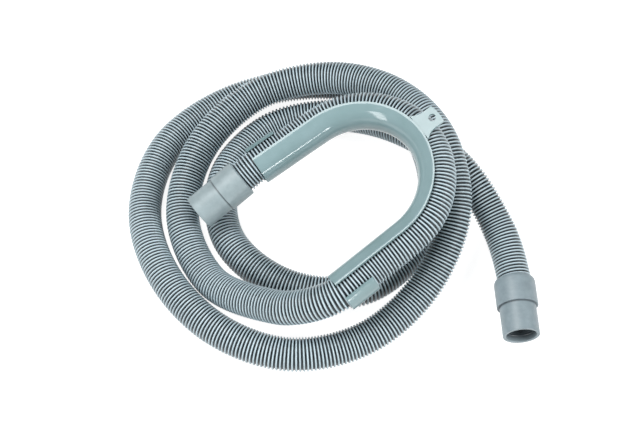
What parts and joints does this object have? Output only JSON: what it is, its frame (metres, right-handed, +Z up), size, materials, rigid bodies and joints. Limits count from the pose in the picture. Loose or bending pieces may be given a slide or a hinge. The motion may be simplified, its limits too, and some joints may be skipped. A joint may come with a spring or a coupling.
{
  "type": "washing machine drain hose",
  "caption": "Corrugated drain hose lying in a loose coil, with a stepped push-on cuff on each end and a clip-on U-shaped guide with a holed tab.",
  "frame": {"origin": "on the floor under the middle of the coiled hose's bounding box", "axes": "+Z up from the floor the hose lies on, +X towards the side where the free end leaves the coil, the free cuff's mouth faces -Y"},
  "size_m": [0.303, 0.2601, 0.1033],
  "materials": {
    "hose": "satin corrugated",
    "cuff": "matte moulded",
    "guide": "glossy moulded"
  },
  "bodies": {
    "root": {"hose": "hose", "cuff_near": "cuff", "cuff_far": "cuff", "hose_guide": "guide"}
  },
  "joints": []
}
